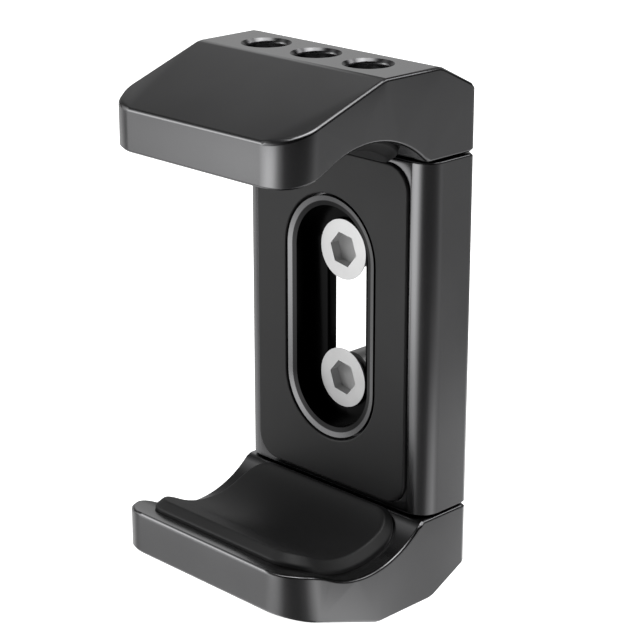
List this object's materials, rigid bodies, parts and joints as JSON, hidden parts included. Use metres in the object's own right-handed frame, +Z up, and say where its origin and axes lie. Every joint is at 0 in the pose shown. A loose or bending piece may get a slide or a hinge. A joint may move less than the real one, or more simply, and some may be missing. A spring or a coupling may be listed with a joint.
{
  "type": "phone holder clip",
  "caption": "Metal clip with a slotted column and two jaws that slide apart to grip a phone or power bank, with threaded accessory holes.",
  "frame": {"origin": "middle of the footprint on the surface that the closed clip stands on", "axes": "+X to the clip's right as the phone sees it, +Y towards the flat rear face, +Z up"},
  "size_m": [0.0404, 0.0392, 0.086],
  "materials": {
    "body": "dark satin anodised, fine bead blast",
    "pad": "matte black silicone rubber",
    "screw": "bright nickel plated, face turned smooth",
    "steel": "dull zinc plated"
  },
  "bodies": {
    "column": {"column": "body", "back_pad": "pad", "upper_clamp_nut": "steel", "lower_clamp_nut": "steel"},
    "upper_jaw": {"upper_jaw": "body", "upper_inner_rail": "steel", "upper_outer_rail": "steel", "upper_jaw_pad": "pad"},
    "lower_jaw": {"lower_jaw": "body", "lower_inner_rail": "steel", "lower_outer_rail": "steel", "lower_jaw_pad": "pad"},
    "upper_clamp_screw": {"upper_clamp_screw": "screw"},
    "lower_clamp_screw": {"lower_clamp_screw": "screw"}
  },
  "joints": [
    {"name": "upper_jaw_slide", "type": "slide", "parent": "column", "child": "upper_jaw", "axis": [0, 0, 1], "range_m": [0, 0.014]},
    {"name": "lower_jaw_slide", "type": "slide", "parent": "column", "child": "lower_jaw", "axis": [0, 0, -1], "range_m": [0, 0.014]},
    {"name": "upper_screw_turn", "type": "hinge", "parent": "column", "child": "upper_clamp_screw", "pos_m": [0, 0.0126, 0.05375], "axis": [0, -1, 0], "range_deg": [0, 360]},
    {"name": "lower_screw_turn", "type": "hinge", "parent": "column", "child": "lower_clamp_screw", "pos_m": [0, 0.0126, 0.03225], "axis": [0, -1, 0], "range_deg": [0, 360]}
  ]
}
